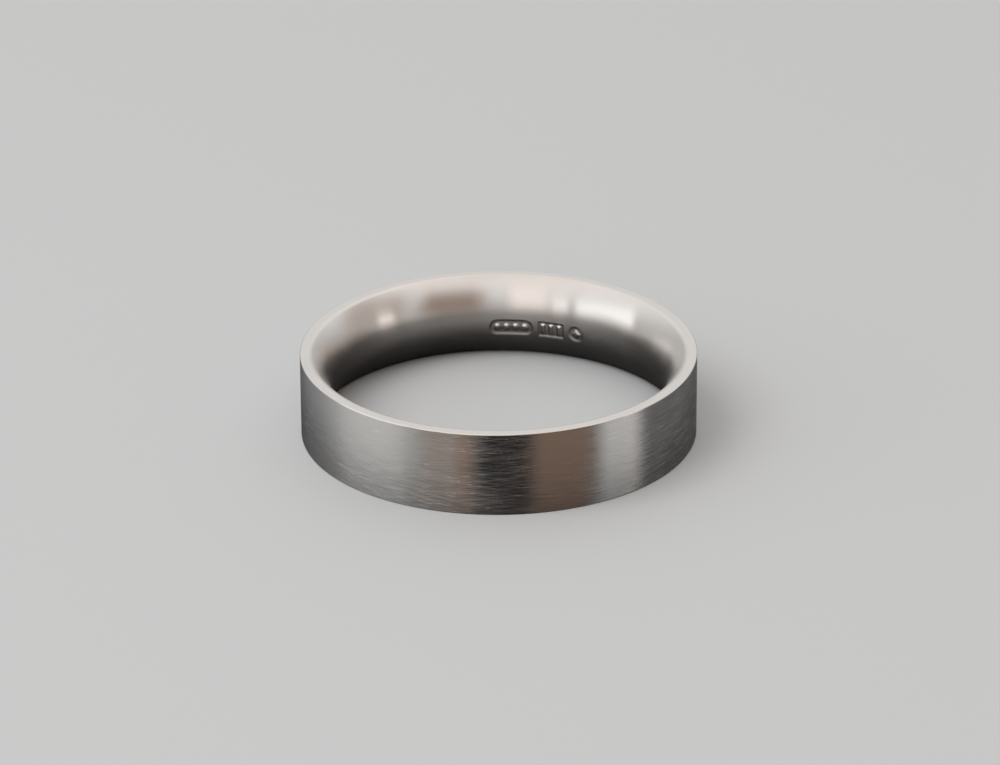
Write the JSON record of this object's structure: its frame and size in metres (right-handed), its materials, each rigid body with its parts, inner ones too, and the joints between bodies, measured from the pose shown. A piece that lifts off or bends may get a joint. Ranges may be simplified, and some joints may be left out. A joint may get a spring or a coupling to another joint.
{
  "type": "wedding band",
  "caption": "Plain finger ring: a hoop of flat-court strip, brushed flat outside and polished domed bore, closed by a soldered butt joint.",
  "frame": {"origin": "centre of the finger bore, half way along the band's width", "axes": "+Z along the finger, square to both rims; -Y towards the soldered butt joint; the ring lies on its -Z rim"},
  "size_m": [0.023, 0.023, 0.005],
  "materials": {
    "band_metal": "satin",
    "solder_metal": "satin"
  },
  "bodies": {
    "root": {"band": "band_metal", "solder_joint": "solder_metal"}
  },
  "joints": []
}
